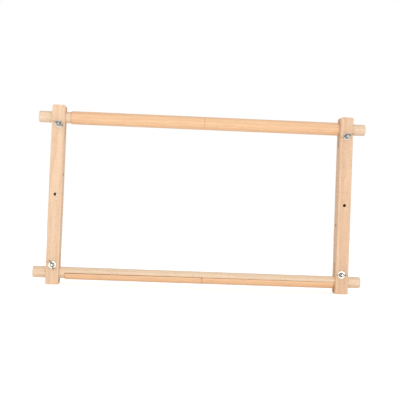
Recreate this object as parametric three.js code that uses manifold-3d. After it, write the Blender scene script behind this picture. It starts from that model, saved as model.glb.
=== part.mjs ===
// Rotating split-rail embroidery frame: two side bars, two rollers that turn in them, a half-round
// strip that clips the cloth to each roller, and four wing-nut clamps that lock the rollers.
// Millimetres, +Z up. It stands on the lower ends of its bars with its front towards -Y, and its
// origin is at the middle of the whole object's footprint.
import * as THREE from 'three';
import { mergeVertices } from 'three/addons/utils/BufferGeometryUtils.js';
import Module from 'manifold-3d';

const wasm = await Module();
wasm.setup();

// Side bars
const barLength = 300;
const barWidth = 21.5; // seen from the front
const barDepth = 28; // front to back
const barSpacing = 487; // between the bars' centre lines
const barCornerRadius = 3; // corners of the front outline
const barArris = 0.8; // softened front and back edges
const kerfWidth = 3.2;
const kerfLength = 52; // from the bar's end
const standHoleDiameter = 5; // front to back at mid-length, for a stand's bolt
const sideHoleDiameter = 5; // side to side, for a stand's bolt
const sideHoleRise = 34; // side hole from the bar's middle

// Rollers
const rollerInset = 19.5; // axis from the bar's end
const rollerDiameter = 19;
const rollerClearance = 0.3; // radial, in the bar's bore
const rollerOverhang = 22.5; // past the bar's outer face
const rollerEndRadius = 1.4;

// Clamp strips
const stripDiameter = 22.1;
const stripToLeftBar = 9.05; // strip's end to the bar's inner face
const stripToRightBar = 1.45;
const stripEndGap = 0.5; // strip's end to the shoulder of the core's flat
const stripEndRadius = 2.2;
const seamGap = 0.4; // between the core's flat and the strip's flat, where the cloth lies
const centreGrooveWidth = 1.2;
const centreGrooveDepth = 0.5;
const centreNotchRadius = 1.2; // half-round nick in both seam edges at the centre mark
const centreNotchDepth = 2;
const centreMarkOffset = 2.5; // from the strip's middle, towards the left end of the top strip

// Locating pins
const pinDiameter = 4;
const pinInset = 14; // pin from the strip's end
const pinInCore = 5.5; // from the core's flat
const pinInStrip = 6; // past the core's flat
const pinClearance = 0.3; // round the pin and past its tips
const pinTip = 0.5; // chamfer

// Clamp bolts
const boltInset = 32.6; // bolt from the bar's end
const boltShift = 1.4; // one bolt of each bar off its middle line, towards the rollers
const boltDiameter = 4;
const boltClearance = 0.3; // round the shank and the square neck
const boltProtrusion = 3; // past the wing nut
const boltTip = 0.5; // chamfer
const boltHeadDiameter = 9.6;
const boltHeadHeight = 2.5;
const boltNeckWidth = 4; // across the flats of the square neck
const boltNeckLength = 3;

// Washers
const washerDiameter = 12.5;
const washerThickness = 1;
const washerArris = 0.2;
const washerBoreClearance = 0.35; // radial

// Wing nuts
const nutBaseDiameter = 8.6;
const nutTopDiameter = 7.2;
const nutHubHeight = 4.6;
const nutHubRound = 0.5;
const nutBoreClearance = 0.3; // radial
const wingSpan = 18.6;
const wingHeight = 10.5; // from the nut's seat to the top of the wings
const wingThickness = 1.8;
const wingBevel = 0.35;
const wingLobeRadius = 2.7;
const wingLobeShare = 1.15; // of half a turn, how far round the lobe its arc runs
const wingRootHeight = 1; // underside of the wing above the seat, at the hub

// Faces that rest on each other
const seatGap = 0.3;

// How each wing nut happens to be turned, in degrees from level, seen from the front
const wingTurns = { top_left: -26, top_right: 24, bottom_left: -65, bottom_right: 1 };

// Facets of round forms
const roundFacets = 48;
const washerFacets = 32;
const boltFacets = 24;
const domeFacets = 6;
const lobeFacets = 6;
const cornerFacets = 4; // corner of the bar's front outline
const arrisFacets = 2;
const endFacets = 3; // rounded end of a roller or a strip
const cutOverrun = 2; // how far a cutter runs past the face that it cuts

// Worked out from the sizes above
const rollerRadius = rollerDiameter / 2;
const stripRadius = stripDiameter / 2;
const rollerLength = barSpacing + barWidth + 2 * rollerOverhang;
const stripLength = barSpacing - barWidth - stripToLeftBar - stripToRightBar;
const stripShift = (stripToLeftBar - stripToRightBar) / 2; // strip's middle, right of the core's
const flatLength = stripLength + 2 * stripEndGap;
const rollerHeight = barLength / 2 - rollerInset; // above the bar's middle
const boltHeight = barLength / 2 - boltInset;
const pinReach = stripLength / 2 - pinInset; // pin from the strip's middle
const washerSeat = barDepth / 2 + seatGap; // distances from the bar's middle towards the front
const nutSeat = washerSeat + washerThickness + seatGap;
const boltEnd = nutSeat + nutHubHeight + boltProtrusion;
const headSeat = barDepth / 2 + seatGap; // towards the back
const frontReach = nutSeat + wingHeight;
const backReach = headSeat + boltHeadHeight;

// Colours, as the photograph shows them
const barWood = new THREE.MeshStandardMaterial({ color: '#efcdab', roughness: 0.7, metalness: 0 });
const coreWood = new THREE.MeshStandardMaterial({ color: '#f1d5b6', roughness: 0.7, metalness: 0 });
const stripWood = new THREE.MeshStandardMaterial({ color: '#f7c79c', roughness: 0.65, metalness: 0 });
const pinWood = new THREE.MeshStandardMaterial({ color: '#e8c79f', roughness: 0.75, metalness: 0 });
const zincSteel = new THREE.MeshStandardMaterial({ color: '#c9ccce', roughness: 0.3, metalness: 1 });

// Geometry and solids

function toSolid(geometry) {
  const bare = geometry.clone();
  bare.deleteAttribute('normal');
  bare.deleteAttribute('uv');
  const merged = mergeVertices(bare);
  return new wasm.Manifold(new wasm.Mesh({
    numProp: 3,
    vertProperties: merged.attributes.position.array,
    triVerts: new Uint32Array(merged.index.array),
  }));
}

function toGeometry(solid) {
  const mesh = solid.getMesh();
  const indexed = new THREE.BufferGeometry();
  indexed.setAttribute('position', new THREE.BufferAttribute(mesh.vertProperties, mesh.numProp));
  indexed.setIndex(new THREE.BufferAttribute(mesh.triVerts, 1));
  const faceted = indexed.toNonIndexed();
  faceted.computeVertexNormals();
  return faceted;
}

function namedMesh(name, solid, material) {
  const mesh = new THREE.Mesh(toGeometry(solid), material);
  mesh.name = name;
  return mesh;
}

// Turns a form made about the Y axis so that it lies along X or Z.
const alongX = (geometry) => geometry.rotateZ(-Math.PI / 2);
const alongZ = (geometry) => geometry.rotateX(Math.PI / 2);

// A round cutter about the Y axis, centred on the origin.
function roundCutter(radius, length, facets = boltFacets) {
  return new THREE.CylinderGeometry(radius, radius, length, facets);
}

// A profile of [radius, place along the axis] turned about the Y axis.
function turned(points, facets = roundFacets) {
  return new THREE.LatheGeometry(points.map(([r, y]) => new THREE.Vector2(r, y)), facets);
}

// The profile of a plain rod with rounded ends, centred on the origin.
function rodProfile(radius, length, endRadius) {
  const quarter = [];
  for (let i = 0; i <= endFacets; i += 1) {
    const angle = (i / endFacets) * (Math.PI / 2);
    const inset = endRadius * (1 - Math.sin(angle));
    quarter.push([radius - inset, length / 2 - endRadius * (1 - Math.cos(angle))]);
  }
  const lower = quarter.map(([r, y]) => [r, -y]);
  return [[0, -length / 2], ...lower, ...quarter.reverse(), [0, length / 2]];
}

// A rounded rectangle in the XY plane, centred on the origin.
function roundedRectangle(width, height, radius) {
  const x = width / 2 - radius;
  const y = height / 2 - radius;
  const shape = new THREE.Shape();
  shape.absarc(x, y, radius, 0, Math.PI / 2);
  shape.absarc(-x, y, radius, Math.PI / 2, Math.PI);
  shape.absarc(-x, -y, radius, Math.PI, 1.5 * Math.PI);
  shape.absarc(x, -y, radius, 1.5 * Math.PI, 2 * Math.PI);
  return shape;
}

// Side bar, centred on its own middle. Both bars are this piece: the right one is turned end for end.
function sideBar() {
  const outline = roundedRectangle(
    barWidth - 2 * barArris,
    barLength - 2 * barArris,
    barCornerRadius - barArris,
  );
  const blank = new THREE.ExtrudeGeometry(outline, {
    depth: barDepth - 2 * barArris,
    bevelThickness: barArris,
    bevelSize: barArris,
    bevelSegments: arrisFacets,
    curveSegments: cornerFacets,
  });
  blank.translate(0, 0, barArris - barDepth / 2);
  let bar = toSolid(blank.rotateX(Math.PI / 2));

  const acrossBar = barWidth + 2 * cutOverrun;
  const throughBar = barDepth + 2 * cutOverrun;
  const boreRadius = rollerRadius + rollerClearance;
  const boltHoleRadius = boltDiameter / 2 + boltClearance;
  const neckHole = boltNeckWidth + 2 * boltClearance;
  const neckDepth = boltNeckLength + boltClearance + cutOverrun;
  const kerf = kerfLength + cutOverrun;
  const cutters = [];
  for (const end of [-1, 1]) {
    const boltPlace = end === 1 ? boltShift : 0;
    cutters.push(
      alongX(roundCutter(boreRadius, acrossBar, roundFacets)).translate(0, 0, end * rollerHeight),
      new THREE.BoxGeometry(acrossBar, kerfWidth, kerf)
        .translate(0, 0, end * (barLength / 2 + cutOverrun - kerf / 2)),
      roundCutter(boltHoleRadius, throughBar).translate(boltPlace, 0, end * boltHeight),
      new THREE.BoxGeometry(neckHole, neckDepth, neckHole)
        .translate(boltPlace, barDepth / 2 + cutOverrun - neckDepth / 2, end * boltHeight),
    );
  }
  cutters.push(
    roundCutter(standHoleDiameter / 2, throughBar),
    alongX(roundCutter(sideHoleDiameter / 2, acrossBar)).translate(0, 0, sideHoleRise),
  );
  for (const cutter of cutters) bar = bar.subtract(toSolid(cutter));
  return bar;
}

// Roller core along X: a round journal at each end and, between them, a flat that faces the strip.
function rollerCore() {
  const rod = alongX(turned(rodProfile(rollerRadius, rollerLength, rollerEndRadius)));
  const front = rollerRadius + cutOverrun + seamGap / 2;
  const flat = new THREE.BoxGeometry(flatLength, front, rollerDiameter + 2 * cutOverrun)
    .translate(stripShift, seamGap / 2 - front / 2, 0);
  let core = toSolid(rod).subtract(toSolid(flat));
  const holeDepth = pinInCore + pinClearance + cutOverrun;
  for (const side of [-1, 1]) {
    const hole = roundCutter(pinDiameter / 2 + pinClearance, holeDepth)
      .translate(stripShift + side * pinReach, seamGap / 2 - cutOverrun + holeDepth / 2, 0);
    core = core.subtract(toSolid(hole));
  }
  return core;
}

// Half-round strip along X, its flat towards the core. The cloth is pinched between the two flats.
function clampStrip() {
  const rod = alongX(turned(rodProfile(stripRadius, stripLength, stripEndRadius)));
  const back = stripRadius + cutOverrun + seamGap / 2;
  const otherHalf = new THREE.BoxGeometry(
    stripLength + 2 * cutOverrun,
    back,
    stripDiameter + 2 * cutOverrun,
  ).translate(0, back / 2 - seamGap / 2, 0);
  let strip = toSolid(rod).subtract(toSolid(otherHalf));

  const holeDepth = pinInStrip - seamGap + pinClearance + cutOverrun;
  for (const side of [-1, 1]) {
    const hole = roundCutter(pinDiameter / 2 + pinClearance, holeDepth)
      .translate(side * pinReach, cutOverrun - seamGap / 2 - holeDepth / 2, 0);
    strip = strip.subtract(toSolid(hole));
  }

  // The centre mark: a shallow groove all round and a nick in each seam edge.
  const grooveFlank = centreGrooveWidth / 2 * (1 + cutOverrun / centreGrooveDepth);
  const groove = alongX(turned([
    [stripRadius - centreGrooveDepth, 0],
    [stripRadius + cutOverrun, grooveFlank],
    [stripRadius + cutOverrun, -grooveFlank],
    [stripRadius - centreGrooveDepth, 0],
  ].reverse()));
  strip = strip.subtract(toSolid(groove.translate(-centreMarkOffset, 0, 0)));
  const nickLength = centreNotchDepth + cutOverrun;
  for (const side of [-1, 1]) {
    const nick = alongZ(roundCutter(centreNotchRadius, nickLength))
      .translate(-centreMarkOffset, -seamGap / 2, side * (stripRadius + cutOverrun - nickLength / 2));
    strip = strip.subtract(toSolid(nick));
  }
  return strip;
}

// Locating pin: its inner end in the core, its outer end in the strip.
function locatingPin() {
  const length = pinInCore + pinInStrip;
  const radius = pinDiameter / 2;
  const pin = turned([
    [0, -length / 2],
    [radius - pinTip, -length / 2],
    [radius, pinTip - length / 2],
    [radius, length / 2 - pinTip],
    [radius - pinTip, length / 2],
    [0, length / 2],
  ], boltFacets);
  return toSolid(pin.translate(0, seamGap / 2 + pinInCore - length / 2, 0));
}

// Clamp bolt: a domed head and a square neck at the back, and a shank that comes out at the front.
function clampBolt() {
  const radius = boltDiameter / 2;
  const headRadius = boltHeadDiameter / 2;
  const profile = [
    [0, -boltEnd],
    [radius - boltTip, -boltEnd],
    [radius, boltTip - boltEnd],
    [radius, headSeat],
    [headRadius, headSeat],
  ];
  const domeRadius = (headRadius ** 2 + boltHeadHeight ** 2) / (2 * boltHeadHeight);
  const domeCentre = headSeat + boltHeadHeight - domeRadius;
  const domeAngle = Math.asin(Math.min(1, headRadius / domeRadius));
  for (let i = domeFacets - 1; i > 0; i -= 1) {
    const angle = (i / domeFacets) * domeAngle;
    profile.push([domeRadius * Math.sin(angle), domeCentre + domeRadius * Math.cos(angle)]);
  }
  profile.push([0, headSeat + boltHeadHeight]);
  const shank = toSolid(turned(profile, boltFacets));
  const neckLength = boltNeckLength + seatGap;
  const neck = new THREE.BoxGeometry(boltNeckWidth, neckLength, boltNeckWidth)
    .translate(0, headSeat - neckLength / 2, 0);
  return shank.add(toSolid(neck));
}

// Washer, its back face at the bar.
function washer() {
  const outer = washerDiameter / 2;
  const inner = boltDiameter / 2 + washerBoreClearance;
  const back = -washerSeat;
  const front = back - washerThickness;
  return toSolid(turned([
    [inner, front],
    [outer - washerArris, front],
    [outer, front + washerArris],
    [outer, back - washerArris],
    [outer - washerArris, back],
    [inner, back],
    [inner, front],
  ], washerFacets));
}

// One wing's outline, with X outwards from the bolt and Y forwards from the nut's seat.
function wingOutline() {
  const hubRadius = nutTopDiameter / 2;
  const lobe = wingLobeRadius - wingBevel;
  const tip = wingSpan / 2 - wingBevel;
  const top = wingHeight - wingBevel;
  const root = hubRadius / 2 + boltDiameter / 4;
  const outline = new THREE.Shape();
  outline.moveTo(root, wingRootHeight + wingBevel);
  outline.lineTo(hubRadius, wingRootHeight + wingBevel);
  outline.quadraticCurveTo(tip - lobe / 2, nutHubHeight / 2, tip, top - lobe);
  outline.absarc(tip - lobe, top - lobe, lobe, 0, wingLobeShare * Math.PI);
  outline.quadraticCurveTo(
    hubRadius + wingBevel,
    nutHubHeight + wingBevel,
    root,
    nutHubHeight - wingBevel - nutHubRound,
  );
  outline.closePath();
  return outline;
}

// Wing nut, made with its seat at the origin and moved out to its place on the bolt.
function wingNut() {
  const base = nutBaseDiameter / 2;
  const top = nutTopDiameter / 2;
  let nut = toSolid(turned([
    [0, -nutHubHeight],
    [top - nutHubRound, -nutHubHeight],
    [top, nutHubRound - nutHubHeight],
    [base, -nutHubRound],
    [base, 0],
    [0, 0],
  ], washerFacets));
  const wing = new THREE.ExtrudeGeometry(wingOutline(), {
    depth: wingThickness - 2 * wingBevel,
    bevelThickness: wingBevel,
    bevelSize: wingBevel,
    bevelSegments: 1,
    curveSegments: lobeFacets,
  });
  wing.translate(0, 0, wingBevel - wingThickness / 2).rotateX(Math.PI);
  nut = nut.add(toSolid(wing)).add(toSolid(wing.clone().rotateY(Math.PI)));
  const bore = roundCutter(boltDiameter / 2 + nutBoreClearance, 2 * (nutHubHeight + cutOverrun));
  return nut.subtract(toSolid(bore)).translate([0, -nutSeat, 0]);
}

// Assembly

const frame = new THREE.Group();
frame.position.set(0, (frontReach - backReach) / 2, barLength / 2);

const solids = {
  bar: sideBar(),
  core: rollerCore(),
  strip: clampStrip(),
  pin: locatingPin(),
  bolt: clampBolt(),
  washer: washer(),
  nut: wingNut(),
};

for (const [side, place] of [['left', -1], ['right', 1]]) {
  const bar = namedMesh(`${side}_side_bar`, solids.bar, barWood);
  bar.position.x = place * barSpacing / 2;
  if (side === 'right') bar.rotation.y = Math.PI;
  frame.add(bar);

  for (const [end, rise] of [['bottom', -1], ['top', 1]]) {
    const corner = `${end}_${side}`;
    const clamp = new THREE.Group();
    // The shifted bolt is at the top of the left bar and so, end for end, at the foot of the right.
    const shift = rise === -place ? boltShift : 0;
    clamp.position.set(place * (barSpacing / 2 - shift), 0, rise * boltHeight);
    const nut = namedMesh(`${corner}_wing_nut`, solids.nut, zincSteel);
    nut.rotation.y = -THREE.MathUtils.degToRad(wingTurns[corner]);
    clamp.add(
      namedMesh(`${corner}_clamp_bolt`, solids.bolt, zincSteel),
      namedMesh(`${corner}_washer`, solids.washer, zincSteel),
      nut,
    );
    frame.add(clamp);
  }
}

for (const [end, rise] of [['bottom', -1], ['top', 1]]) {
  const roller = new THREE.Group();
  roller.position.z = rise * rollerHeight;
  const strip = namedMesh(`${end}_clamp_strip`, solids.strip, stripWood);
  strip.position.x = stripShift;
  // The top strip faces the front. The bottom roller is turned so that its strip is underneath, and
  // that strip sits on it end for end.
  if (end === 'bottom') {
    roller.rotation.x = Math.PI / 2;
    strip.rotation.y = Math.PI;
  }
  roller.add(namedMesh(`${end}_roller_core`, solids.core, coreWood), strip);
  for (const [side, place] of [['left', -1], ['right', 1]]) {
    const pin = namedMesh(`${end}_${side}_locating_pin`, solids.pin, pinWood);
    pin.position.x = stripShift + place * pinReach;
    roller.add(pin);
  }
  frame.add(roller);
}

const part = new THREE.Group();
part.add(frame);
export default part;
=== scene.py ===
"""Rotating split-rail embroidery frame in beech and zinc-plated steel, with its studio.

Everything is in metres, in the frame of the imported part: X along the rollers, Y from front to
back, Z up along the side bars, with the floor at zero.
"""

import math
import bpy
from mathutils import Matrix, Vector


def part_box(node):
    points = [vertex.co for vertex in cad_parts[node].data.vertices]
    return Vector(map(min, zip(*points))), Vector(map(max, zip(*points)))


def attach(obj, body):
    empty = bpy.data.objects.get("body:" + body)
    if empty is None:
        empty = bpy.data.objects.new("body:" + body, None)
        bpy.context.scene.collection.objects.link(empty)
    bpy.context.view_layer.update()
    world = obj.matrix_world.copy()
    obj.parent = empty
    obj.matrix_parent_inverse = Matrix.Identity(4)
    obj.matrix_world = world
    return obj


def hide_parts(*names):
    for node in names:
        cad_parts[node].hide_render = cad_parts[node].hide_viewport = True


bl_info = {
    "name": "Embroidery frame",
    "version": (1, 0, 0),
    "blender": (4, 5, 0),
    "location": "View3D > Sidebar > Embroidery frame",
    "description": "Builds a rotating split-rail embroidery frame in beech with wing-nut clamps",
    "category": "Add Mesh",
}

import bmesh
import bpy
from bpy.props import FloatProperty, FloatVectorProperty, PointerProperty
from bpy.types import Operator, Panel, PropertyGroup
from mathutils import Matrix, Vector
from mathutils.geometry import interpolate_bezier

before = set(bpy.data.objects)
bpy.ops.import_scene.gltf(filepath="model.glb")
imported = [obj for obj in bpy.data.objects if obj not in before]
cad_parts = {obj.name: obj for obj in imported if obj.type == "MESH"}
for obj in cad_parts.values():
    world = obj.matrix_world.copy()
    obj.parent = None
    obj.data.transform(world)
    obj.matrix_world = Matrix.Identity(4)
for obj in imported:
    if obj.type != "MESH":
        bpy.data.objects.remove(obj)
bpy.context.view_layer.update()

MM = 0.001
SIDES = {"left": -1, "right": 1}
ENDS = {"bottom": -1, "top": 1}
CORNERS = [(end, side) for end in ENDS for side in SIDES]

# Facets and cutting
ROUND_STEPS = 96  # round a roller, a washer or a bolt's head
SMALL_STEPS = 48  # round a hole, a pin or a thread
ARC_STEPS = 6  # over a rounded corner
FEW_STEPS = 3  # over a softened edge
OVERRUN = 2 * MM  # how far a cutter runs past the face that it cuts
FLUTES = 12  # round a locating pin
MERGE = 0.001 * MM  # points closer than this are one
SHARP_ANGLE = math.radians(32)  # edges bent further than this stay sharp
CAST_GRAIN = 0.18 * MM  # voxels that a casting is made of
CAST_PASSES = 6  # of smoothing over a casting

# Where the middle of each piece's tree lay, in millimetres of the frame's space. The year rings
# run round it, and it is outside every piece. The left bar's is the right one's mirrored.
BAR_PITH = (270, 75, 0)
CORE_PITH = (0, 60, 150)
STRIP_PITH = (0, 70, 150)
PIN_PITH = (30, 0, 90)

# A shape is made about Z, then laid along X or turned so that its Z points to the front.
AS_MADE = Matrix.Identity(4)
ALONG_X = Matrix.Rotation(math.pi / 2, 4, "Y")
TO_FRONT = Matrix.Rotation(math.pi / 2, 4, "X")


def box_of(node):
    """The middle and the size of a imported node."""
    low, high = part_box(node)
    return (low + high) / 2, high - low


BAR_MIDDLE, BAR_SIZE = box_of("left_side_bar")
CORE_MIDDLE, CORE_SIZE = box_of("top_roller_core")
STRIP_MIDDLE, STRIP_SIZE = box_of("top_clamp_strip")
PIN_MIDDLE, PIN_SIZE = box_of("top_left_locating_pin")
BOLT_MIDDLE, BOLT_SIZE = box_of("top_left_clamp_bolt")
WASHER_MIDDLE, WASHER_SIZE = box_of("top_left_washer")
NUT_SEAT = -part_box("top_left_wing_nut")[1].y
BOLT_TIP = BOLT_SIZE.y / 2 - BOLT_MIDDLE.y
BOLT_BACK = -BOLT_SIZE.y / 2 - BOLT_MIDDLE.y


# Sizes, colours and studio settings that a user can change


def linear_colour(code):
    """Linear red, green and blue of an sRGB hex value."""
    shares = [int(code[i : i + 2], 16) / 255 for i in (0, 2, 4)]
    return tuple(
        share / 12.92 if share <= 0.04045 else ((share + 0.055) / 1.055) ** 2.4
        for share in shares
    )


def a_length(name, description, value):
    """A length in metres."""
    return FloatProperty(
        name=name, description=description, default=value, min=0, unit="LENGTH", precision=5
    )


def an_angle(name, description, degrees):
    """An angle, shown in degrees."""
    return FloatProperty(
        name=name, description=description, default=math.radians(degrees), subtype="ANGLE"
    )


def a_colour(name, description, code):
    """A colour from its sRGB hex value."""
    return FloatVectorProperty(
        name=name,
        description=description,
        default=linear_colour(code),
        size=3,
        subtype="COLOR",
        min=0,
        max=1,
    )


class BarSizes(PropertyGroup):
    """Sizes of the two side bars."""

    length: a_length("Length", "Height of a side bar", BAR_SIZE.z)
    width: a_length("Width", "Width of a bar seen from the front", BAR_SIZE.x)
    depth: a_length("Depth", "Depth of a bar from front to back", BAR_SIZE.y)
    corner: a_length("Corner radius", "Rounding of the bar's outline", 3 * MM)
    arris: a_length("Arris", "Softening of the front and back edges", 0.8 * MM)
    bore: a_length("Roller bore", "Diameter of the hole for a roller", 19.6 * MM)
    bore_chamfer: a_length("Bore chamfer", "Broken edge round a roller's bore", 0.4 * MM)
    kerf_width: a_length("Kerf width", "Width of the saw kerf at each end", 3.2 * MM)
    kerf_length: a_length("Kerf length", "Depth of the saw kerf from the bar's end", 52 * MM)
    bolt_hole: a_length("Bolt hole", "Diameter of a clamp bolt's hole", 4.6 * MM)
    bolt_shift: a_length(
        "Bolt shift", "One bolt of each bar off its middle line", WASHER_MIDDLE.x - BAR_MIDDLE.x
    )
    recess_width: a_length("Recess width", "Width of the square recess for a bolt", 4.6 * MM)
    recess_depth: a_length("Recess depth", "Depth of the square recess for a bolt", 3.3 * MM)
    stand_hole: a_length("Stand hole", "Diameter of the holes for a stand's bolts", 5 * MM)
    hole_chamfer: a_length("Hole chamfer", "Broken edge round each small hole", 0.25 * MM)
    side_hole_rise: a_length("Side hole rise", "Side hole from the bar's middle", 34 * MM)


class RollerSizes(PropertyGroup):
    """Sizes of the roller cores, their clamp strips and the locating pins."""

    core_length: a_length("Core length", "Length of a roller core", CORE_SIZE.x)
    core_diameter: a_length("Core diameter", "Diameter of a roller core", CORE_SIZE.z)
    core_end: a_length("Core end", "Rounding of a roller's ends", 1.4 * MM)
    flat_length: a_length("Flat length", "Length of the flat under the strip", 455.2 * MM)
    strip_length: a_length("Strip length", "Length of a clamp strip", STRIP_SIZE.x)
    strip_diameter: a_length("Strip diameter", "Diameter of a clamp strip's round", 22.1 * MM)
    strip_shift: a_length("Strip shift", "Strip's middle from the frame's", STRIP_MIDDLE.x)
    strip_end: a_length("Strip end", "Rounding of a strip's ends", 2.2 * MM)
    core_flat: a_length("Core flat", "Flat of a core behind the roller's axis", 0.05 * MM)
    strip_flat: a_length("Strip flat", "Flat of a strip in front of the axis", 0.25 * MM)
    strip_taper: a_length("Strip taper", "Wood that the flat loses towards one end", 0.6 * MM)
    seam_edge: a_length("Seam edge", "Softening of a strip's seam edges", 0.25 * MM)
    groove_width: a_length("Groove width", "Width of the centre mark's groove", 1.2 * MM)
    groove_depth: a_length("Groove depth", "Depth of the centre mark's groove", 0.9 * MM)
    mark_offset: a_length("Mark offset", "Centre mark from the strip's middle", 2.5 * MM)
    nick_radius: a_length("Nick radius", "Radius of the nick in each seam edge", 1.5 * MM)
    nick_depth: a_length("Nick depth", "Depth of the nick in each seam edge", 3.5 * MM)
    pin_diameter: a_length("Pin diameter", "Diameter of a locating pin", PIN_SIZE.x)
    pin_length: a_length("Pin length", "Length of a locating pin", PIN_SIZE.y)
    pin_reach: a_length(
        "Pin reach", "Distance of a pin from mid-strip", STRIP_MIDDLE.x - PIN_MIDDLE.x
    )
    pin_tip: a_length("Pin tip", "Chamfer of a pin's ends", 0.5 * MM)
    pin_flute: a_length("Pin flute", "Depth of the glue flutes in a pin", 0.15 * MM)
    pin_room: a_length("Pin clearance", "Gap round a pin and past its tips", 0.3 * MM)


class ClampSizes(PropertyGroup):
    """Sizes of the clamp bolts, washers and wing nuts, and how each nut is turned."""

    thread_diameter: a_length("Thread diameter", "Outer diameter of the thread", 4 * MM)
    thread_pitch: a_length("Thread pitch", "Pitch of the thread", 0.7 * MM)
    thread_depth: a_length("Thread depth", "Depth of the thread", 0.43 * MM)
    thread_length: a_length("Thread length", "Length of the thread from the tip", 13 * MM)
    bolt_tip: a_length("Bolt tip", "Chamfer of a bolt's tip", 0.5 * MM)
    head_diameter: a_length("Head diameter", "Diameter of a bolt's dome", BOLT_SIZE.x)
    head_height: a_length("Head height", "Height of a bolt's dome", 2.5 * MM)
    neck_width: a_length("Neck width", "Width of a bolt's square neck", 4 * MM)
    neck_length: a_length("Neck length", "Length of a bolt's square neck", 3.3 * MM)
    washer_diameter: a_length("Washer diameter", "Diameter of a washer", WASHER_SIZE.x)
    washer_thickness: a_length("Washer thickness", "Thickness of a washer", WASHER_SIZE.y)
    washer_bore: a_length("Washer bore", "Diameter of a washer's hole", 4.7 * MM)
    washer_edge: a_length("Washer edge", "Rounding of a washer's rim", 0.3 * MM)
    nut_base: a_length("Nut base", "Diameter of a wing nut's seat", 8.6 * MM)
    nut_top: a_length("Nut top", "Diameter of a wing nut's hub at its top", 7.2 * MM)
    nut_height: a_length("Nut height", "Height of a wing nut's hub", 4.6 * MM)
    nut_edge: a_length("Nut edge", "Rounding of the hub and the wings", 0.5 * MM)
    nut_bore: a_length("Nut bore", "Diameter of a wing nut's bore", 4.4 * MM)
    wing_span: a_length("Wing span", "Distance across a nut's wings", 18.6 * MM)
    wing_height: a_length("Wing height", "Top of the wings from the seat", 10.5 * MM)
    wing_root: a_length("Wing root", "Thickness of a wing at the hub", 2.4 * MM)
    wing_tip: a_length("Wing tip", "Thickness of a wing at its end", 1.6 * MM)
    wing_lobe: a_length("Wing lobe", "Radius of a wing's round end", 2.7 * MM)
    wing_foot: a_length("Wing foot", "Underside of a wing from the seat", 1 * MM)
    top_left: an_angle("Top left nut", "How the top left wing nut is turned", -26)
    top_right: an_angle("Top right nut", "How the top right wing nut is turned", 24)
    bottom_left: an_angle("Bottom left nut", "How the bottom left nut is turned", -65)
    bottom_right: an_angle("Bottom right nut", "How the bottom right nut is turned", 1)


class FrameColours(PropertyGroup):
    """Tones of the woods and the metal."""

    left_bar: a_colour("Left bar", "Beech of the left side bar", "F1D0B0")
    right_bar: a_colour("Right bar", "Beech of the right side bar", "EAC6A5")
    core: a_colour("Roller core", "Pale beech of the roller cores", "F2D8BA")
    strip: a_colour("Clamp strip", "Warm beech of the clamp strips", "FBCAA0")
    pin: a_colour("Locating pin", "Beech of the locating pins", "E6C49C")
    cut: a_colour("Cut wood", "Beech inside the holes and kerfs", "A9794C")
    zinc: a_colour("Zinc", "Bright zinc plate of the bolts and washers", "DAD7D0")
    cast: a_colour("Cast metal", "Dull zinc plate of the cast wing nuts", "B3B1AC")


class StudioSettings(PropertyGroup):
    """Camera, lamp, floor and surroundings."""

    camera_place: FloatVectorProperty(
        name="Camera place",
        description="Where the camera stands",
        default=(-63.29 * MM, -1351.68 * MM, 118.75 * MM),
        subtype="TRANSLATION",
        unit="LENGTH",
    )
    camera_turn: FloatVectorProperty(
        name="Camera turn",
        description="How the camera is turned",
        default=[math.radians(degrees) for degrees in (91.326, -2.191, -2.677)],
        subtype="EULER",
    )
    lens: FloatProperty(
        name="Lens", description="Focal length in millimetres", default=72, min=1
    )
    key_power: FloatProperty(
        name="Key lamp", description="Power of the soft front lamp in watts", default=12, min=0
    )
    key_width: a_length("Key width", "Width of the front lamp", 2.4)
    key_height: a_length("Key height", "Height of the front lamp", 0.2)
    key_distance: a_length("Key distance", "Lamp in front of the frame's middle", 1.7)
    key_drop: a_length("Key drop", "Lamp below the frame's middle", 0.04)
    surround: FloatProperty(
        name="Surround", description="Strength of the even light all round", default=0.73, min=0
    )
    room: FloatProperty(
        name="Room",
        description="How bright the room in front of the frame mirrors in metal",
        default=0.25,
        min=0,
    )
    floor_size: a_length("Floor size", "Width of the floor", 8)
    floor: a_colour("Floor", "Colour of the floor", "FAFAFA")


# Shapes


def turned(profile, steps, closed=False):
    """A solid turned about Z from a profile of (radius, height). A closed one makes a ring."""
    bm = bmesh.new()
    points = [bm.verts.new((radius, 0, height)) for radius, height in profile]
    edges = [bm.edges.new(pair) for pair in zip(points, points[1:])]
    if closed:
        edges.append(bm.edges.new((points[-1], points[0])))
    bmesh.ops.spin(
        bm,
        geom=points + edges,
        axis=(0, 0, 1),
        angle=2 * math.pi,
        steps=steps,
        use_merge=True,
    )
    return tidied(bm)


def tidied(bm):
    """Merges doubles and points the faces outwards."""
    bmesh.ops.remove_doubles(bm, verts=bm.verts, dist=MERGE)
    bmesh.ops.recalc_face_normals(bm, faces=bm.faces)
    return bm


def arc(centre, radius, start, end, steps=ARC_STEPS):
    """Points on an arc in a plane, from one angle to another."""
    angles = [start + (end - start) * step / steps for step in range(steps + 1)]
    return [(centre[0] + radius * math.cos(a), centre[1] + radius * math.sin(a)) for a in angles]


def block(size, middle):
    """A rectangular block."""
    bm = bmesh.new()
    bmesh.ops.create_cube(bm, size=1)
    bmesh.ops.scale(bm, vec=size, verts=bm.verts)
    bmesh.ops.translate(bm, vec=middle, verts=bm.verts)
    return bm


def drill(diameter, depth, chamfer, direction, middle):
    """A cutter for a through hole with a broken edge at both mouths."""
    radius = diameter / 2
    flare = radius + chamfer + OVERRUN
    outside = depth / 2 + OVERRUN
    bend = depth / 2 - chamfer
    profile = [(0, -outside), (flare, -outside), (radius, -bend)]
    profile += [(across, -height) for across, height in reversed(profile)]
    bm = turned(profile, SMALL_STEPS)
    bm.transform(Matrix.Translation(middle) @ direction)
    return bm


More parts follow.
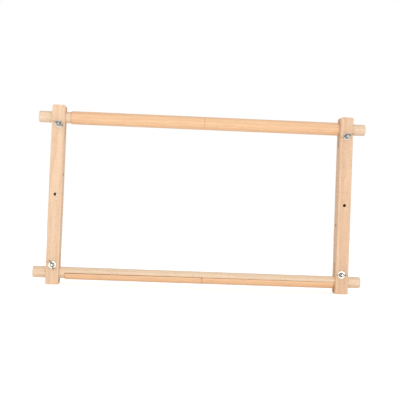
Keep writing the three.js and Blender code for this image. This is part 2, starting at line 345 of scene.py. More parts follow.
def round_cutter(radius, low, high):
    """A plain round cutter about Z, from one height to another."""
    return turned([(0, low), (radius, low), (radius, high), (0, high)], SMALL_STEPS)


def bevel(bm, edges, width, steps):
    """Rounds some edges."""
    bmesh.ops.bevel(
        bm,
        geom=edges,
        offset=width,
        segments=steps,
        profile=0.5,
        affect="EDGES",
        material=-1,
        clamp_overlap=True,
    )


def keep_side(bm, place, outwards):
    """Cuts a solid at a plane, keeps what is behind it and closes the cut. Returns its rim."""
    cut = bmesh.ops.bisect_plane(
        bm,
        geom=bm.verts[:] + bm.edges[:] + bm.faces[:],
        plane_co=place,
        plane_no=outwards,
        clear_outer=True,
    )
    rim = [part for part in cut["geom_cut"] if isinstance(part, bmesh.types.BMEdge)]
    bmesh.ops.edgeloop_fill(bm, edges=rim)
    bmesh.ops.recalc_face_normals(bm, faces=bm.faces)
    return rim


def linked(name, data):
    """A new object in the scene, at the origin."""
    made = bpy.data.objects.new(name, data)
    bpy.context.scene.collection.objects.link(made)
    return made


def made_object(name, bm, material):
    """A mesh object from a bmesh, which is freed."""
    mesh = bpy.data.meshes.new(name)
    bm.to_mesh(mesh)
    bm.free()
    mesh.materials.append(material)
    return linked(name, mesh)


def remove_object(unwanted):
    """Removes an object and its mesh."""
    mesh = unwanted.data
    bpy.data.objects.remove(unwanted)
    bpy.data.meshes.remove(mesh)


def keep_modified(piece):
    """Keeps a piece's mesh as its modifiers leave it."""
    evaluated = piece.evaluated_get(bpy.context.evaluated_depsgraph_get())
    finished = bpy.data.meshes.new_from_object(evaluated)
    rough = piece.data
    piece.modifiers.clear()
    piece.data = finished
    bpy.data.meshes.remove(rough)
    finished.name = piece.name


def combine(piece, shape, operation, material=None):
    """Cuts a shape out of a piece, or joins it on. A cut's faces take the material given."""
    tool = made_object("tool", shape, material or piece.data.materials[0])
    boolean = piece.modifiers.new("Combine", "BOOLEAN")
    boolean.object = tool
    boolean.operation = operation
    boolean.solver = "EXACT"
    boolean.material_mode = "TRANSFER"
    keep_modified(piece)
    remove_object(tool)
    bm = bmesh.new()
    bm.from_mesh(piece.data)
    bmesh.ops.remove_doubles(bm, verts=bm.verts, dist=MERGE)
    bmesh.ops.dissolve_degenerate(bm, edges=bm.edges, dist=MERGE)
    bm.to_mesh(piece.data)
    bm.free()


def finish_piece(piece, body, node):
    """Checks that a piece is one closed skin, shades it and sets it in place of its node."""
    bm = bmesh.new()
    bm.from_mesh(piece.data)
    is_open = any(not edge.is_manifold for edge in bm.edges)
    bm.free()
    if is_open or not piece.data.polygons:
        raise RuntimeError(f"{piece.name} isn't closed")
    piece.data.shade_smooth()
    piece.data.set_sharp_from_angle(angle=SHARP_ANGLE)
    weighted = piece.modifiers.new("Weighted normals", "WEIGHTED_NORMAL")
    weighted.keep_sharp = True
    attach(piece, body)
    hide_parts(node)


# Materials


def add(tree, kind, inputs=None, **settings):
    """Adds a node with its settings and links, and returns its outputs by identifier."""
    node = tree.nodes.new(kind)
    for name, value in settings.items():
        setattr(node, name, value)
    sockets = {socket.identifier: socket for socket in node.inputs}
    for name, value in (inputs or {}).items():
        if isinstance(value, bpy.types.NodeSocket):
            tree.links.new(value, sockets[name])
        else:
            sockets[name].default_value = value
    return {socket.identifier: socket for socket in node.outputs}


def new_tree(holder):
    """The empty node tree of a new material or world."""
    holder.use_nodes = True
    holder.node_tree.nodes.clear()
    return holder.node_tree


def shaded(tone, share=1):
    """A colour as red, green, blue and alpha, made darker or lighter by a share."""
    return (*[min(1, channel * share) for channel in tone], 1)


def scale_for(grain, along, across, deep=None):
    """Scale of a pattern from its size in millimetres along the grain, across it and, where it
    differs, from front to back."""
    sizes = {axis: across for axis in "XYZ"}
    sizes["Y"] = deep or across
    sizes[grain] = along
    return [1 / (size * MM) for size in sizes.values()]


def beech(name, tone, grain, pith, flecks=0.55):
    """Steamed beech, planed, sanded and left bare: matt and pale pink-brown, with faint year
    rings, fine fibres and the short darker ray flecks that tell beech from other pale woods. How
    strong the flecks are depends on how the piece was sawn."""
    ring_spacing = 5  # millimetres; real ones are 1 to 4, too fine to show in a small picture
    wave_period = math.pi / 10  # of the wave texture at scale 1
    wander = 8  # millimetres by which the rings stray
    tree = new_tree(material := bpy.data.materials.new(name))
    texture = add(tree, "ShaderNodeTexCoord")
    place = texture["Object"]

    # Year rings round the pith
    long_waves = add(
        tree,
        "ShaderNodeMapping",
        {"Vector": place, "Scale": scale_for(grain, along=170, across=22)},
    )["Vector"]
    drift = add(tree, "ShaderNodeTexNoise", {"Vector": long_waves, "Scale": 1, "Detail": 2})
    from_pith = add(
        tree,
        "ShaderNodeMapping",
        {"Vector": place, "Scale": [1 / MM] * 3, "Location": [-share for share in pith]},
    )["Vector"]
    wandering = add(
        tree,
        "ShaderNodeVectorMath",
        {"Vector": drift["Color"], "Vector_001": [wander] * 3, "Vector_002": from_pith},
        operation="MULTIPLY_ADD",
    )["Vector"]
    rings = add(
        tree,
        "ShaderNodeTexWave",
        {"Vector": wandering, "Scale": wave_period / ring_spacing},
        wave_type="RINGS",
        rings_direction=grain,
        wave_profile="SAW",
    )["Fac"]
    ring_share = add(
        tree, "ShaderNodeMapRange", {"Value": rings, "From Min": 0.35, "To Max": 0.3}
    )["Result"]

    # Fibres and pores, coarser than real ones of 0.1 mm, which are too fine to show
    fine = add(
        tree,
        "ShaderNodeMapping",
        {"Vector": place, "Scale": scale_for(grain, along=26, across=0.8)},
    )["Vector"]
    fibres = add(
        tree, "ShaderNodeTexNoise", {"Vector": fine, "Scale": 1, "Detail": 4, "Roughness": 0.6}
    )["Fac"]
    fibre_share = add(
        tree,
        "ShaderNodeMapRange",
        {"Value": fibres, "From Min": 0.4, "From Max": 0.72, "To Max": 0.35},
    )["Result"]

    # Ray flecks, which run deep into the bar. Real ones are 1 to 4 mm long, too fine to show.
    cells = add(
        tree,
        "ShaderNodeMapping",
        {"Vector": place, "Scale": scale_for(grain, along=7.5, across=2.1, deep=14)},
    )["Vector"]
    distance = add(tree, "ShaderNodeTexVoronoi", {"Vector": cells, "Scale": 1})["Distance"]
    fleck_share = add(
        tree,
        "ShaderNodeMapRange",
        {"Value": distance, "From Min": 0.1, "From Max": 0.25, "To Min": flecks, "To Max": 0},
    )["Result"]

    # End grain drinks more light than the sides
    facing = add(
        tree,
        "ShaderNodeVectorMath",
        {"Vector": texture["Normal"], "Vector_001": [float(axis == grain) for axis in "XYZ"]},
        operation="DOT_PRODUCT",
    )["Value"]
    either_end = add(tree, "ShaderNodeMath", {"Value": facing}, operation="ABSOLUTE")["Value"]
    end_share = add(
        tree,
        "ShaderNodeMapRange",
        {"Value": either_end, "From Min": 0.92, "From Max": 0.99, "To Max": 0.8},
    )["Result"]

    # Paler and darker wood, then each stain on it
    pale, dark = shaded(tone, 1.14), shaded(tone, 0.96)
    coloured = add(
        tree,
        "ShaderNodeMix",
        {"Factor_Float": drift["Fac"], "A_Color": pale, "B_Color": dark},
        data_type="RGBA",
    )["Result_Color"]
    stains = (
        (ring_share, "E2CDB8"),
        (fibre_share, "D6C2B0"),
        (fleck_share, "C9A98C"),
        (end_share, "DCC4A8"),
    )
    for share, stain in stains:
        coloured = add(
            tree,
            "ShaderNodeMix",
            {"Factor_Float": share, "A_Color": coloured, "B_Color": shaded(linear_colour(stain))},
            data_type="RGBA",
            blend_type="MULTIPLY",
        )["Result_Color"]

    relief = add(
        tree, "ShaderNodeBump", {"Height": fibres, "Strength": 0.35, "Distance": 0.12 * MM}
    )["Normal"]
    sanded = add(
        tree,
        "ShaderNodeMapRange",
        {"Value": fibres, "From Min": 0.3, "From Max": 0.7, "To Min": 0.56, "To Max": 0.7},
    )["Result"]
    surface = add(
        tree,
        "ShaderNodeBsdfPrincipled",
        {"Base Color": coloured, "Roughness": sanded, "IOR": 1.48, "Normal": relief},
    )["BSDF"]
    add(tree, "ShaderNodeOutputMaterial", {"Surface": surface})
    return material


def cut_beech(name, tone):
    """Beech where a drill or saw has passed: rough, torn fibres, browner than a sanded face."""
    tree = new_tree(material := bpy.data.materials.new(name))
    place = add(tree, "ShaderNodeTexCoord")["Object"]
    torn = add(
        tree, "ShaderNodeTexNoise", {"Vector": place, "Scale": 1 / (0.8 * MM), "Detail": 3}
    )["Fac"]
    pale, dark = shaded(tone, 1.25), shaded(tone, 0.75)
    coloured = add(
        tree,
        "ShaderNodeMix",
        {"Factor_Float": torn, "A_Color": pale, "B_Color": dark},
        data_type="RGBA",
    )["Result_Color"]
    relief = add(
        tree, "ShaderNodeBump", {"Height": torn, "Strength": 0.6, "Distance": 0.15 * MM}
    )["Normal"]
    surface = add(
        tree,
        "ShaderNodeBsdfPrincipled",
        {"Base Color": coloured, "Roughness": 0.85, "IOR": 1.48, "Normal": relief},
    )["BSDF"]
    add(tree, "ShaderNodeOutputMaterial", {"Surface": surface})
    return material


def zinc_plate(name, tone, dullness):
    """Steel with zinc plate: a mirror-like grey, dulled by its fine crystals and by handling,
    with a faint yellow and blue cast. On a casting it is darker and duller than on a washer. Its
    crystals are too fine to show, so the grit is drawn coarser, at half a millimetre."""
    tree = new_tree(material := bpy.data.materials.new(name))
    place = add(tree, "ShaderNodeTexCoord")["Object"]
    cast = add(
        tree, "ShaderNodeTexNoise", {"Vector": place, "Scale": 1 / (4 * MM), "Detail": 2}
    )["Fac"]
    grit = add(
        tree, "ShaderNodeTexNoise", {"Vector": place, "Scale": 1 / (0.5 * MM), "Detail": 3}
    )["Fac"]
    red, green, blue = tone
    yellowish, bluish = (red, green * 0.98, blue * 0.92, 1), (red * 0.94, green * 0.98, blue, 1)
    coloured = add(
        tree,
        "ShaderNodeMix",
        {"Factor_Float": cast, "A_Color": yellowish, "B_Color": bluish},
        data_type="RGBA",
    )["Result_Color"]
    shiny, dull = dullness - 0.08, dullness + 0.08
    dulled = add(
        tree,
        "ShaderNodeMapRange",
        {"Value": grit, "From Min": 0.3, "From Max": 0.7, "To Min": shiny, "To Max": dull},
    )["Result"]
    relief = add(
        tree, "ShaderNodeBump", {"Height": grit, "Strength": 0.15, "Distance": 0.05 * MM}
    )["Normal"]
    surface = add(
        tree,
        "ShaderNodeBsdfPrincipled",
        {"Base Color": coloured, "Metallic": 1, "Roughness": dulled, "Normal": relief},
    )["BSDF"]
    add(tree, "ShaderNodeOutputMaterial", {"Surface": surface})
    return material


def floor_paper(name, tone):
    """Matt white background paper. It adds a little light of its own for the camera alone, so
    that it shows white and still keeps the frame's shadow."""
    tree = new_tree(material := bpy.data.materials.new(name))
    matt = add(tree, "ShaderNodeBsdfDiffuse", {"Color": shaded(tone)})["BSDF"]
    glow = add(tree, "ShaderNodeEmission", {"Strength": 0.45})["Emission"]
    both = add(tree, "ShaderNodeAddShader", {"Shader": matt, "Shader_001": glow})["Shader"]
    seen = add(tree, "ShaderNodeLightPath")["Is Camera Ray"]
    surface = add(
        tree, "ShaderNodeMixShader", {"Fac": seen, "Shader": matt, "Shader_001": both}
    )["Shader"]
    add(tree, "ShaderNodeOutputMaterial", {"Surface": surface})
    return material


def finish_of(context, name, make, colour, **settings):
    """A material in one of the frame's colours, which pieces of the same finish share."""
    tone = tuple(getattr(context.scene.embroidery_colours, colour))
    return bpy.data.materials.get(name) or make(name, tone, **settings)


def cut_wood(context):
    """The material inside every hole and kerf."""
    return finish_of(context, "cut_beech", cut_beech, "cut")


def zinc_steel(context):
    """The material of the bolts and the washers."""
    return finish_of(context, "zinc_plated_steel", zinc_plate, "zinc", dullness=0.28)


# Pieces


def roller_place(end):
    """Puts a roller's piece on its axis. The bottom roller is turned, its strip underneath."""
    turn = Matrix.Rotation(math.pi / 2 if end == "bottom" else 0, 4, "X")
    rise = ENDS[end] * (CORE_MIDDLE.z - BAR_MIDDLE.z)
    return Matrix.Translation(BAR_MIDDLE * Vector((0, 1, 1)) + Vector((0, 0, rise))) @ turn


def clamp_place(end, side, angle=0):
    """Puts a clamp's piece, made about Z with the world's middle plane at zero, on its bolt."""
    place = box_of(f"{end}_{side}_washer")[0] * Vector((1, 0, 1))
    return Matrix.Translation(place) @ TO_FRONT @ Matrix.Rotation(angle, 4, "Z")


def rounded_rod(radius, long, rounding, middle=()):
    """A rod along X with rounded ends, and any points that mark its middle."""
    reach = long / 2 - rounding
    first = arc((radius - rounding, -reach), rounding, -math.pi / 2, 0)
    last = arc((radius - rounding, reach), rounding, 0, math.pi / 2)
    rod = turned([(0, -long / 2), *first, *middle, *last, (0, long / 2)], ROUND_STEPS)
    rod.transform(ALONG_X)
    return rod


def pin_holes(sizes, middle, low, high):
    """Cutters for a roller's two pin holes, from one depth in front of its axis to another."""
    radius = sizes.pin_diameter / 2 + sizes.pin_room
    for reach in (-sizes.pin_reach, sizes.pin_reach):
        hole = round_cutter(radius, low, high)
        hole.transform(Matrix.Translation((middle + reach, 0, 0)) @ TO_FRONT)
        yield hole


class EMBROIDERY_OT_side_bars(Operator):
    """Make the two side bars with their bores, kerfs and bolt holes"""

    bl_idname = "embroidery.side_bars"
    bl_label = "Side bars"

    def execute(self, context):
        sizes = context.scene.embroidery_bars
        outwards, back, up = BAR_PITH
        for side, place in SIDES.items():
            name, pith = f"{side}_bar", (place * outwards, back, up)
            wood = finish_of(context, f"{name}_beech", beech, name, grain="Z", pith=pith)
            bar = made_object(name, self.blank(sizes), wood)
            for cutter in self.cutters(sizes):
                combine(bar, cutter, "DIFFERENCE", cut_wood(context))
            node = f"{side}_side_bar"
            turn = Matrix.Rotation(math.pi if side == "right" else 0, 4, "Y")
            bar.data.transform(Matrix.Translation(box_of(node)[0]) @ turn)
            finish_piece(bar, f"{side}_side", node)
        return {"FINISHED"}

    @staticmethod
    def blank(sizes):
        """A bar before it is drilled: its outline is rounded first, then its arrises."""
        bm = block((sizes.width, sizes.depth, sizes.length), (0, 0, 0))
        through = [e for e in bm.edges if abs(e.verts[0].co.y - e.verts[1].co.y) > MERGE]
        bevel(bm, through, sizes.corner, ARC_STEPS)
        rims = [e for e in bm.edges if abs(e.verts[0].co.y - e.verts[1].co.y) < MERGE]
        bevel(bm, rims, sizes.arris, FEW_STEPS)
        return bm

    @staticmethod
    def cutters(sizes):
        """The cutters for a bar's bores, kerfs and holes."""
        bore_rise = CORE_MIDDLE.z - BAR_MIDDLE.z
        bolt_rise = WASHER_MIDDLE.z - BAR_MIDDLE.z
        kerf = sizes.kerf_length + OVERRUN
        recess = sizes.recess_depth + OVERRUN
        for end, bolt_shift in ((1, sizes.bolt_shift), (-1, 0)):
            bore = (0, 0, end * bore_rise)
            yield drill(sizes.bore, sizes.width, sizes.bore_chamfer, ALONG_X, bore)
            kerf_middle = (0, 0, end * (sizes.length / 2 + OVERRUN - kerf / 2))
            yield block((sizes.width + OVERRUN, sizes.kerf_width, kerf), kerf_middle)
            bolt = Vector((bolt_shift, 0, end * bolt_rise))
            yield drill(sizes.bolt_hole, sizes.depth, sizes.hole_chamfer, TO_FRONT, bolt)
            recess_depth = Vector((0, sizes.depth / 2 + OVERRUN - recess / 2, 0))
            yield block((sizes.recess_width, recess, sizes.recess_width), bolt + recess_depth)
        yield drill(sizes.stand_hole, sizes.depth, sizes.hole_chamfer, TO_FRONT, (0, 0, 0))
        side_hole = (0, 0, sizes.side_hole_rise)
        yield drill(sizes.stand_hole, sizes.width, sizes.hole_chamfer, ALONG_X, side_hole)


class EMBROIDERY_OT_roller_cores(Operator):
    """Make the two roller cores, each with a flat for its clamp strip"""

    bl_idname = "embroidery.roller_cores"
    bl_label = "Roller cores"

    def execute(self, context):
        sizes = context.scene.embroidery_rollers
        wood = finish_of(context, "core_beech", beech, "core", grain="X", pith=CORE_PITH)
        radius = sizes.core_diameter / 2
        deep = radius + OVERRUN + sizes.core_flat
        pin_depth = PIN_MIDDLE.y - BAR_MIDDLE.y + sizes.pin_length / 2 + sizes.pin_room
        for end in ENDS:
            rod = rounded_rod(radius, sizes.core_length, sizes.core_end)
            core = made_object(f"{end}_core", rod, wood)
            flat = block(
                (sizes.flat_length, deep, sizes.core_diameter + OVERRUN),
                (sizes.strip_shift, sizes.core_flat - deep / 2, 0),
            )
            combine(core, flat, "DIFFERENCE")
            for hole in pin_holes(sizes, sizes.strip_shift, -pin_depth, OVERRUN):
                combine(core, hole, "DIFFERENCE", cut_wood(context))
            core.data.transform(roller_place(end))
            finish_piece(core, f"{end}_roller", f"{end}_roller_core")
        return {"FINISHED"}


class EMBROIDERY_OT_clamp_strips(Operator):
    """Make the two half-round strips that clip the cloth to the rollers"""

    bl_idname = "embroidery.clamp_strips"
    bl_label = "Clamp strips"

    def execute(self, context):
        sizes = context.scene.embroidery_rollers
        wood = finish_of(
            context, "strip_beech", beech, "strip", grain="X", pith=STRIP_PITH, flecks=0.35
        )
        radius = sizes.strip_diameter / 2
        flank, mark = sizes.groove_width / 2, -sizes.mark_offset
        groove = [
            (radius, mark - flank),
            (radius - sizes.groove_depth, mark),
            (radius, mark + flank),
        ]
        pin_depth = BAR_MIDDLE.y - PIN_MIDDLE.y + sizes.pin_length / 2 + sizes.pin_room
        thick_end = (-sizes.strip_length / 2, -sizes.strip_flat, 0)
        square_to_flat = (sizes.strip_taper / sizes.strip_length, 1, 0)
        for end in ENDS:
            rod = rounded_rod(radius, sizes.strip_length, sizes.strip_end, groove)
            rim = keep_side(rod, thick_end, square_to_flat)
            bevel(rod, rim, sizes.seam_edge, FEW_STEPS)
            strip = made_object(f"{end}_strip", rod, wood)
            holes = pin_holes(sizes, 0, -OVERRUN, pin_depth)
            for cutter in (*self.nicks(sizes, radius), *holes):
                combine(strip, cutter, "DIFFERENCE", cut_wood(context))
            shift = Matrix.Translation((sizes.strip_shift, 0, 0))
            turn = Matrix.Rotation(math.pi if end == "bottom" else 0, 4, "Y")
            strip.data.transform(roller_place(end) @ shift @ turn)
            finish_piece(strip, f"{end}_strip", f"{end}_clamp_strip")
        return {"FINISHED"}

    @staticmethod
    def nicks(sizes, radius):
        """Cutters for the half-round nick that marks mid-length in each seam edge."""
        place = Matrix.Translation((-sizes.mark_offset, -sizes.strip_flat, 0))
        for turn in (math.pi, 0):
            nick = round_cutter(sizes.nick_radius, radius - sizes.nick_depth, radius + OVERRUN)
            nick.transform(place @ Matrix.Rotation(turn, 4, "X"))
            yield nick


class EMBROIDERY_OT_locating_pins(Operator):
    """Make the fluted dowels that keep each strip in place on its roller"""

    bl_idname = "embroidery.locating_pins"
    bl_label = "Locating pins"

    def execute(self, context):
        sizes = context.scene.embroidery_rollers
        wood = finish_of(context, "pin_beech", beech, "pin", grain="Y", pith=PIN_PITH)
        for end, side in CORNERS:
            pin = made_object(f"{end}_{side}_pin", self.dowel(sizes), wood)
            shift = sizes.strip_shift + SIDES[side] * sizes.pin_reach
            local = Matrix.Translation((shift, PIN_MIDDLE.y - BAR_MIDDLE.y, 0))
            pin.data.transform(roller_place(end) @ local @ TO_FRONT)
            finish_piece(pin, f"{end}_roller", f"{end}_{side}_locating_pin")
        return {"FINISHED"}

    @staticmethod
    def dowel(sizes):
        """A dowel about Z with chamfered ends and shallow flutes for the glue."""
        radius = sizes.pin_diameter / 2
        tip = sizes.pin_tip
        bm = bmesh.new()
        bmesh.ops.create_circle(bm, cap_ends=True, segments=SMALL_STEPS, radius=radius)
        flute = 1 - sizes.pin_flute / radius
        bottoms = bm.verts[:][:: SMALL_STEPS // FLUTES]
        bmesh.ops.scale(bm, vec=(flute, flute, 1), verts=bottoms)
        bmesh.ops.scale(bm, vec=(1 - tip / radius,) * 3, verts=bm.verts)
        bmesh.ops.translate(bm, vec=(0, 0, -sizes.pin_length / 2), verts=bm.verts)
        widen = radius / (radius - tip)
        (face,) = bm.faces
        for rise, share in ((tip, widen), (sizes.pin_length - 2 * tip, 1), (tip, 1 / widen)):
            grown = bmesh.ops.extrude_face_region(bm, geom=[face, *face.edges, *face.verts])
            face = next(part for part in grown["geom"] if isinstance(part, bmesh.types.BMFace))
            points = face.verts[:]
            bmesh.ops.scale(bm, vec=(share, share, 1), verts=points)
            bmesh.ops.translate(bm, vec=(0, 0, rise), verts=points)
        return tidied(bm)


class EMBROIDERY_OT_clamp_bolts(Operator):
    """Make the four bolts with domed heads, square necks and threads"""

    bl_idname = "embroidery.clamp_bolts"
    bl_label = "Clamp bolts"

    def execute(self, context):
        sizes = context.scene.embroidery_clamps
        pattern = made_object("bolt_pattern", self.shank(sizes), zinc_steel(context))
        seat = BOLT_BACK + sizes.head_height
        neck = block(
            (sizes.neck_width, sizes.neck_width, sizes.neck_length),
            (0, 0, seat + sizes.neck_length / 2),
        )
        combine(pattern, neck, "UNION")
        combine(pattern, self.thread(sizes), "UNION")
        combine(pattern, self.outer_form(sizes), "INTERSECT")
        for end, side in CORNERS:
            bolt = linked(f"{end}_{side}_bolt", pattern.data.copy())
            bolt.data.transform(clamp_place(end, side))
            finish_piece(bolt, f"{side}_side", f"{end}_{side}_clamp_bolt")
        remove_object(pattern)
        return {"FINISHED"}

    @staticmethod
    def shank(sizes):
        """The domed head and the plain shank, a little thinner than the rolled thread. It ends in
        a point inside the thread, whose own core goes on."""
        shoulder, point = 0.9, 4  # pitches inside the thread
        head = sizes.head_diameter / 2
        height = sizes.head_height
        shank = (sizes.thread_diameter - sizes.thread_depth) / 2
        dome = (head**2 + height**2) / (2 * height)
        half_angle = math.asin(head / dome)
        centre = BOLT_BACK + dome
        profile = arc((0, centre), dome, -math.pi / 2, half_angle - math.pi / 2, 2 * ARC_STEPS)
        start = BOLT_TIP - sizes.thread_length
        profile += [
            (shank, BOLT_BACK + height),
            (shank, start + shoulder * sizes.thread_pitch),
            (0, start + point * sizes.thread_pitch),
        ]
        return turned(profile, ROUND_STEPS)

    @staticmethod
    def thread(sizes):
        """The thread, spun from the profile of one turn, and cut off square at both ends."""
        crest = sizes.thread_diameter / 2
        root = crest - sizes.thread_depth
        pitch = sizes.thread_pitch
        start = BOLT_TIP - sizes.thread_length
        turns = math.ceil(sizes.thread_length / pitch) + 2  # one more at each end, cut off
        # One turn's profile: its radius at each share of the pitch
        profile = ((root, 0), (root, 1 / 4), (crest, 9 / 16), (crest, 11 / 16), (root, 1))
        bm = bmesh.new()
        points = [bm.verts.new((r, 0, start + (share - 1) * pitch)) for r, share in profile]
        edges = [bm.edges.new(pair) for pair in zip(points, points[1:])]
        bmesh.ops.spin(
            bm,
            geom=points + edges,
            axis=(0, 0, 1),
            angle=2 * math.pi * turns,
            steps=SMALL_STEPS * turns,
            dvec=(0, 0, pitch / SMALL_STEPS),
        )
        tidied(bm)
        keep_side(bm, (0, 0, start + pitch / 2), (0, 0, -1))
        keep_side(bm, (0, 0, BOLT_TIP - MERGE), (0, 0, 1))
        return bm

    @staticmethod
    def outer_form(sizes):
        """What the whole bolt fits in, with the chamfer of its tip."""
        wide = sizes.head_diameter
        crest = sizes.thread_diameter / 2
        bend = BOLT_TIP - sizes.bolt_tip
        outer = crest + OVERRUN
        return turned(
            [
                (0, BOLT_BACK - OVERRUN),
                (wide, BOLT_BACK - OVERRUN),
                (wide, bend - OVERRUN),
                (outer, bend - OVERRUN),
                (crest - sizes.bolt_tip, BOLT_TIP),
                (0, BOLT_TIP),
            ],
            SMALL_STEPS,
        )


class EMBROIDERY_OT_washers(Operator):
    """Make the four washers, punched with one rounded face"""

    bl_idname = "embroidery.washers"
    bl_label = "Washers"

    def execute(self, context):
        sizes = context.scene.embroidery_clamps
        outer, inner = sizes.washer_diameter / 2, sizes.washer_bore / 2
        edge = sizes.washer_edge
        back = -WASHER_MIDDLE.y - sizes.washer_thickness / 2
        front = back + sizes.washer_thickness
        profile = [
            (inner, back),
            (outer, back),
            *arc((outer - edge, front - edge), edge, 0, math.pi / 2),
            *arc((inner + edge, front - edge), edge, math.pi / 2, math.pi),
        ]
        for end, side in CORNERS:
            ring = turned(profile, ROUND_STEPS, closed=True)
            washer = made_object(f"{end}_{side}_flat_washer", ring, zinc_steel(context))
            washer.data.transform(clamp_place(end, side))
            finish_piece(washer, f"{end}_{side}_washer", f"{end}_{side}_washer")
        return {"FINISHED"}


class EMBROIDERY_OT_wing_nuts(Operator):
    """Make the four cast wing nuts, each turned its own way"""

    bl_idname = "embroidery.wing_nuts"
    bl_label = "Wing nuts"

    def execute(self, context):
        sizes = context.scene.embroidery_clamps
        metal = finish_of(context, "zinc_plated_casting", zinc_plate, "cast", dullness=0.38)
        pattern = made_object("nut_pattern", self.hub(sizes), metal)
        for turn in (0, math.pi):
            wing = self.wing(sizes)
            wing.transform(Matrix.Rotation(turn, 4, "Z"))
            combine(pattern, wing, "UNION")
        self.cast(pattern)
        height = sizes.nut_height
        bore = drill(sizes.nut_bore, height, sizes.nut_edge, AS_MADE, (0, 0, height / 2))
        combine(pattern, bore, "DIFFERENCE")
        for end, side in CORNERS:
            nut = linked(f"{end}_{side}_nut", pattern.data.copy())
            place = clamp_place(end, side, getattr(sizes, f"{end}_{side}"))
            nut.data.transform(place @ Matrix.Translation((0, 0, NUT_SEAT)))
            finish_piece(nut, f"{end}_{side}_nut", f"{end}_{side}_wing_nut")
        remove_object(pattern)
        return {"FINISHED"}

    @staticmethod
    def hub(sizes):
        """The hub, tapering up from its seat."""
        base, top = sizes.nut_base / 2, sizes.nut_top / 2
        edge = sizes.nut_edge
        crown = arc((top - edge, sizes.nut_height - edge), edge, 0, math.pi / 2)
        profile = [(0, 0), (base, 0), (base, edge), *crown, (0, sizes.nut_height)]
        return turned(profile, ROUND_STEPS)

    @staticmethod
    def wing(sizes):
        """One wing: its outline is extruded, thinned towards the tip and rounded."""
        hub = sizes.nut_top / 2
        lobe, tip, top = sizes.wing_lobe, sizes.wing_span / 2, sizes.wing_height
        root = (hub + sizes.thread_diameter / 2) / 2  # inside the hub's wall
        sweep = 1.15 * math.pi  # how far round the lobe its arc runs
        round_end = arc((tip - lobe, top - lobe), lobe, 0, sweep, 3 * ARC_STEPS)
        # The underside bends towards the rise and the upper side towards the neck
        foot, rise = (hub, sizes.wing_foot), (tip - lobe / 2, sizes.nut_height / 2)
        neck = (hub + sizes.nut_edge, sizes.nut_height + sizes.nut_edge)
        crown = (root, sizes.nut_height - sizes.nut_edge)
        under, over = (
            interpolate_bezier(
                *[Vector((x, 0, z)) for x, z in (a, midway(a, bend), midway(b, bend), b)],
                2 * ARC_STEPS,
            )
            for a, bend, b in ((foot, rise, round_end[0]), (round_end[-1], neck, crown))
        )
        outline = [Vector((root, 0, sizes.wing_foot)), *under]
        outline += [Vector((x, 0, z)) for x, z in round_end[1:-1]] + over
        bm = bmesh.new()
        bm.faces.new([bm.verts.new(point) for point in outline])
        grown = bmesh.ops.extrude_face_region(bm, geom=bm.faces[:], use_keep_orig=True)
        moved = [part for part in grown["geom"] if isinstance(part, bmesh.types.BMVert)]
        bmesh.ops.translate(bm, vec=(0, 1, 0), verts=moved)
        bmesh.ops.translate(bm, vec=(0, -1 / 2, 0), verts=bm.verts)
        # It is one unit thick now, and is scaled to its real thickness from root to tip
        for vert in bm.verts:
            share = (vert.co.x - root) / (tip - root)
            vert.co.y *= sizes.wing_root + share * (sizes.wing_tip - sizes.wing_root)
        bmesh.ops.recalc_face_normals(bm, faces=bm.faces)
        rims = [e for e in bm.edges if e.verts[0].co.y * e.verts[1].co.y > 0]
        bevel(bm, rims, sizes.nut_edge, FEW_STEPS)
        return bm

    @staticmethod
    def cast(nut):
        """Melts the hub and wings into one skin with soft fillets, as a casting has."""
        remesh = nut.modifiers.new("Cast", "REMESH")
        remesh.mode = "VOXEL"
        remesh.voxel_size = CAST_GRAIN
        smooth = nut.modifiers.new("Soften", "SMOOTH")
        smooth.iterations = CAST_PASSES
        keep_modified(nut)


def midway(end, bend):
    """A cubic curve's handle for a curve that bends towards one point."""
    return tuple(a + (b - a) * 2 / 3 for a, b in zip(end, bend))


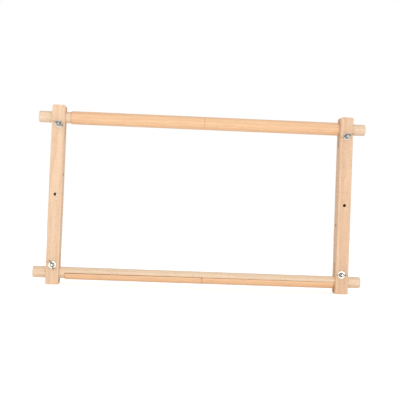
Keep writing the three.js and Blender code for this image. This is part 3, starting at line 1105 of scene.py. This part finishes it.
class EMBROIDERY_OT_studio(Operator):
    """Make the floor, the lamp, the surroundings and the camera"""

    bl_idname = "embroidery.studio"
    bl_label = "Studio"

    def execute(self, context):
        settings = context.scene.embroidery_studio
        bm = bmesh.new()
        bmesh.ops.create_grid(bm, size=settings.floor_size / 2)
        floor = made_object("floor", bm, floor_paper("background_paper", tuple(settings.floor)))
        self.surroundings(context.scene, settings)
        aim = Vector((0, 0, BAR_MIDDLE.z))
        lamp = bpy.data.lights.new("key_lamp", "AREA")
        lamp.shape = "RECTANGLE"
        lamp.size, lamp.size_y = settings.key_width, settings.key_height
        lamp.energy = settings.key_power
        key = linked("key_lamp", lamp)
        key.location = aim - Vector((0, settings.key_distance, settings.key_drop))
        key.rotation_euler = (aim - key.location).to_track_quat("-Z", "Y").to_euler()
        camera = linked("camera", bpy.data.cameras.new("camera"))
        camera.location = settings.camera_place
        camera.rotation_euler = settings.camera_turn
        camera.data.lens = settings.lens
        context.scene.camera = camera
        context.scene.view_settings.view_transform = "Standard"
        return {"FINISHED"}

    @staticmethod
    def surroundings(scene, settings):
        """Even light all round, a white background for the camera, and for mirror rays the same
        white behind the frame and a dimmer room in front of it."""
        tree = new_tree(world := bpy.data.worlds.new("studio"))
        path = add(tree, "ShaderNodeLightPath")
        towards = add(tree, "ShaderNodeTexCoord")["Generated"]
        back = add(
            tree,
            "ShaderNodeVectorMath",
            {"Vector": towards, "Vector_001": (0, 1, 0)},
            operation="DOT_PRODUCT",
        )["Value"]
        mirrored = add(
            tree,
            "ShaderNodeMapRange",
            {"Value": back, "From Min": -0.5, "From Max": 0.3, "To Min": settings.room},
        )["Result"]
        level = settings.surround
        for ray, strength in (
            ("Is Glossy Ray", mirrored),
            ("Is Transmission Ray", 1.0),
            ("Is Camera Ray", 1.0),
        ):
            level = add(
                tree,
                "ShaderNodeMix",
                {"Factor_Float": path[ray], "A_Float": level, "B_Float": strength},
                data_type="FLOAT",
            )["Result_Float"]
        light = add(tree, "ShaderNodeBackground", {"Color": (1, 1, 1, 1), "Strength": level})
        add(tree, "ShaderNodeOutputWorld", {"Surface": light["Background"]})
        scene.world = world


class EMBROIDERY_PT_frame(Panel):
    """Sizes and buttons of the embroidery frame"""

    bl_label = "Embroidery frame"
    bl_space_type = "VIEW_3D"
    bl_region_type = "UI"
    bl_category = "Embroidery frame"

    def draw(self, context):
        for name, group in SETTINGS.items():
            column = self.layout.box().column()
            for setting in group.__annotations__:
                column.prop(getattr(context.scene, name), setting)
        for maker in MAKERS:
            self.layout.operator(maker.bl_idname)


SETTINGS = {
    "embroidery_bars": BarSizes,
    "embroidery_rollers": RollerSizes,
    "embroidery_clamps": ClampSizes,
    "embroidery_colours": FrameColours,
    "embroidery_studio": StudioSettings,
}
MAKERS = (
    EMBROIDERY_OT_studio,
    EMBROIDERY_OT_side_bars,
    EMBROIDERY_OT_roller_cores,
    EMBROIDERY_OT_clamp_strips,
    EMBROIDERY_OT_locating_pins,
    EMBROIDERY_OT_clamp_bolts,
    EMBROIDERY_OT_washers,
    EMBROIDERY_OT_wing_nuts,
)


def register():
    for kind in (*SETTINGS.values(), *MAKERS, EMBROIDERY_PT_frame):
        bpy.utils.register_class(kind)
    for name, group in SETTINGS.items():
        setattr(bpy.types.Scene, name, PointerProperty(type=group))


def unregister():
    for name in SETTINGS:
        delattr(bpy.types.Scene, name)
    for kind in (EMBROIDERY_PT_frame, *MAKERS, *SETTINGS.values()):
        bpy.utils.unregister_class(kind)


def main():
    """Makes the studio and every piece."""
    register()
    bpy.ops.embroidery.studio()
    bpy.ops.embroidery.side_bars()
    bpy.ops.embroidery.roller_cores()
    bpy.ops.embroidery.clamp_strips()
    bpy.ops.embroidery.locating_pins()
    bpy.ops.embroidery.clamp_bolts()
    bpy.ops.embroidery.washers()
    bpy.ops.embroidery.wing_nuts()


if __name__ == "__main__":
    main()
